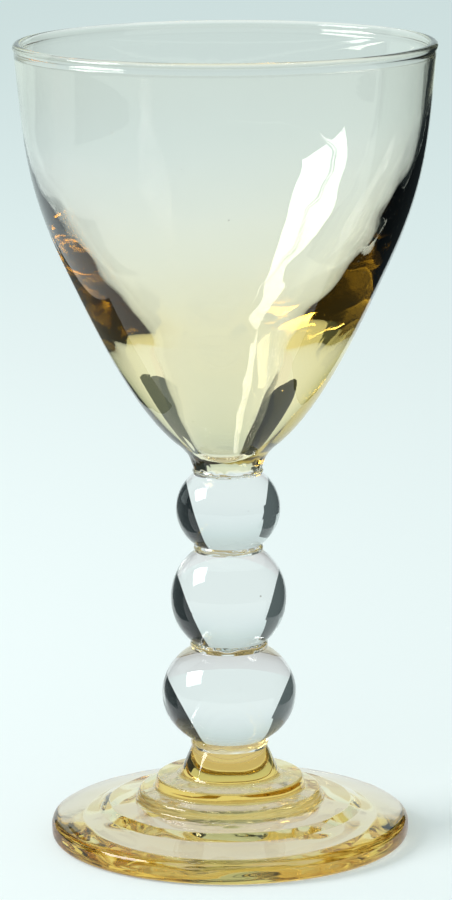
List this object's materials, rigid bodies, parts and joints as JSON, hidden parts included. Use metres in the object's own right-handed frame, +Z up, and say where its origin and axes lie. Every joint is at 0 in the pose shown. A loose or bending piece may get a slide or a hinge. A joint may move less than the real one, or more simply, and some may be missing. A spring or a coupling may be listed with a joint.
{
  "type": "claret glass",
  "caption": "Small stemmed glass with an ovoid amber bowl, a clear stem of flattened balls and a round amber foot with concentric steps.",
  "frame": {"origin": "middle of the flat ring under the foot that the glass stands on", "axes": "+Z up along the axis of the stem, towards the rim; the glass is turned about that axis, so X and Y are alike"},
  "size_m": [0.0724, 0.0724, 0.14],
  "materials": {
    "amber_glass": "pale amber glass, fire polished, colour deepening where it is thick",
    "clear_glass": "clear glass, fire polished"
  },
  "bodies": {
    "root": {"bowl": "amber_glass", "bowl_wafer": "clear_glass", "top_ball": "clear_glass", "upper_wafer": "clear_glass", "middle_ball": "clear_glass", "lower_wafer": "clear_glass", "bottom_ball": "clear_glass", "foot_wafer": "clear_glass", "foot": "amber_glass"}
  },
  "joints": []
}
